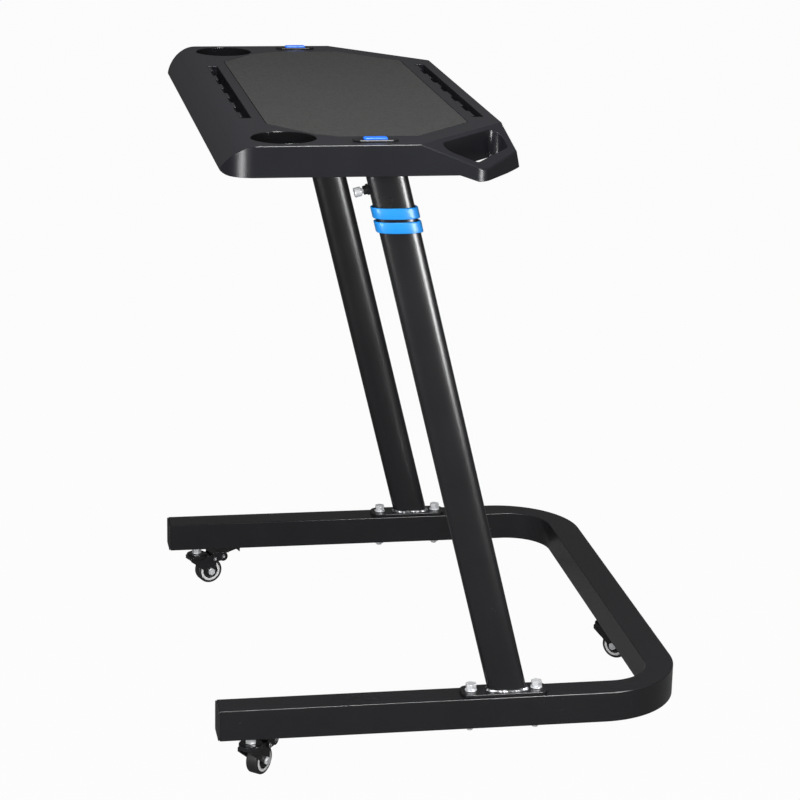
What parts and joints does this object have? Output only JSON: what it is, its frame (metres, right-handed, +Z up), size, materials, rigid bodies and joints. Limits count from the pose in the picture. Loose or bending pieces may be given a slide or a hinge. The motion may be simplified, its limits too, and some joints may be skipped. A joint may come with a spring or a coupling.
{
  "type": "bike trainer desk",
  "caption": "Rolling height-adjustable desk for indoor cycling: a moulded top with cup wells, tablet slots and grab handles on two leaning telescopic posts and a U-shaped tube base with braked casters.",
  "frame": {"origin": "on the floor, under the middle of the whole object's box", "axes": "+X away from the rider towards the closed end of the base, +Y across the desk to its far side, +Z up; desk at its lowest setting"},
  "size_m": [0.6774, 0.8, 0.8545],
  "materials": {
    "black_coat": "satin black powder coat",
    "desk_plastic": "fine grained charcoal, glossy on the edge",
    "mat_rubber": "matt with a fine texture",
    "plug_plastic": "satin",
    "band_blue": "satin azure",
    "cap_black": "glossy",
    "cap_blue": "glossy",
    "zinc": "bright zinc plate",
    "wheel_plastic": "matt tread"
  },
  "bodies": {
    "base": {"side_rail_near": "black_coat", "side_rail_far": "black_coat", "cross_rail": "black_coat", "joint_screw_near": "zinc", "joint_screw_far": "zinc", "rail_cap_near": "plug_plastic", "rail_cap_far": "plug_plastic", "foot_bolt_front_near": "zinc", "foot_bolt_front_far": "zinc", "foot_bolt_rear_near": "zinc", "foot_bolt_rear_far": "zinc", "foot_washer_front_near": "zinc", "foot_washer_front_far": "zinc", "foot_washer_rear_near": "zinc", "foot_washer_rear_far": "zinc", "foot_nut_front_near": "zinc", "foot_nut_front_far": "zinc", "foot_nut_rear_near": "zinc", "foot_nut_rear_far": "zinc", "outer_post_near": "black_coat", "outer_post_far": "black_coat", "post_bushing_near": "plug_plastic", "post_bushing_far": "plug_plastic", "upper_band_near": "band_blue", "upper_band_far": "band_blue", "lower_band_near": "band_blue", "lower_band_far": "band_blue", "pin_housing_near": "cap_black", "pin_housing_far": "cap_black", "front_near_stem": "zinc", "front_near_stem_nut": "zinc", "front_far_stem": "zinc", "front_far_stem_nut": "zinc", "rear_stem": "zinc", "rear_stem_nut": "zinc"},
    "desk": {"inner_post_near": "black_coat", "inner_post_far": "black_coat", "support_bar": "black_coat", "desk_shell": "desk_plastic", "desk_mat": "mat_rubber", "cap_frame_near": "cap_black", "cap_frame_far": "cap_black", "cap_insert_near": "cap_blue", "cap_insert_far": "cap_blue", "desk_bolt_near": "zinc", "desk_bolt_far": "zinc"},
    "pin_near": {"pin_plunger_near": "zinc"},
    "pin_far": {"pin_plunger_far": "zinc"},
    "front_near_swivel": {"front_near_fork": "black_coat", "front_near_axle": "zinc"},
    "front_far_swivel": {"front_far_fork": "black_coat", "front_far_axle": "zinc"},
    "rear_swivel": {"rear_fork": "black_coat", "rear_axle": "zinc"},
    "front_near_roller": {"front_near_wheel": "wheel_plastic"},
    "front_far_roller": {"front_far_wheel": "wheel_plastic"},
    "rear_roller": {"rear_wheel": "wheel_plastic"},
    "front_near_brake": {"front_near_brake_pedal": "black_coat"},
    "front_far_brake": {"front_far_brake_pedal": "black_coat"},
    "rear_brake": {"rear_brake_pedal": "black_coat"}
  },
  "joints": [
    {"name": "height_adjust", "type": "slide", "parent": "base", "child": "desk", "axis": [-0.2462, 0, 0.9692], "range_m": [0, 0.3664]},
    {"name": "pin_pull_near", "type": "slide", "parent": "base", "child": "pin_near", "axis": [-0.9692, 0, -0.2462], "range_m": [0, 0.007], "stiffness_N_per_m": 400},
    {"name": "pin_pull_far", "type": "slide", "parent": "base", "child": "pin_far", "axis": [-0.9692, 0, -0.2462], "range_m": [0, 0.007], "stiffness_N_per_m": 400},
    {"name": "front_near_turn", "type": "hinge", "parent": "base", "child": "front_near_swivel", "pos_m": [-0.29372, -0.366, 0.05], "axis": [0, 0, 1], "continuous": true},
    {"name": "front_far_turn", "type": "hinge", "parent": "base", "child": "front_far_swivel", "pos_m": [-0.29372, 0.366, 0.05], "axis": [0, 0, 1], "continuous": true},
    {"name": "rear_turn", "type": "hinge", "parent": "base", "child": "rear_swivel", "pos_m": [0.28028, 0, 0.05], "axis": [0, 0, 1], "continuous": true},
    {"name": "front_near_roll", "type": "hinge", "parent": "front_near_swivel", "child": "front_near_roller", "pos_m": [-0.28086, -0.35068, 0.02], "axis": [-0.766, 0.6428, 0], "continuous": true},
    {"name": "front_far_roll", "type": "hinge", "parent": "front_far_swivel", "child": "front_far_roller", "pos_m": [-0.2747, 0.37218, 0.02], "axis": [-0.309, 0.9511, 0], "continuous": true},
    {"name": "rear_roll", "type": "hinge", "parent": "rear_swivel", "child": "rear_roller", "pos_m": [0.29514, -0.01338, 0.02], "axis": [0.6691, 0.7431, 0], "continuous": true},
    {"name": "front_near_press", "type": "hinge", "parent": "front_near_swivel", "child": "front_near_brake", "pos_m": [-0.27675, -0.34578, 0.04], "axis": [-0.766, 0.6428, 0], "range_deg": [0, 12]},
    {"name": "front_far_press", "type": "hinge", "parent": "front_far_swivel", "child": "front_far_brake", "pos_m": [-0.26861, 0.37416, 0.04], "axis": [-0.309, 0.9511, 0], "range_deg": [0, 12]},
    {"name": "rear_press", "type": "hinge", "parent": "rear_swivel", "child": "rear_brake", "pos_m": [0.2999, -0.01767, 0.04], "axis": [0.6691, 0.7431, 0], "range_deg": [0, 12]}
  ]
}
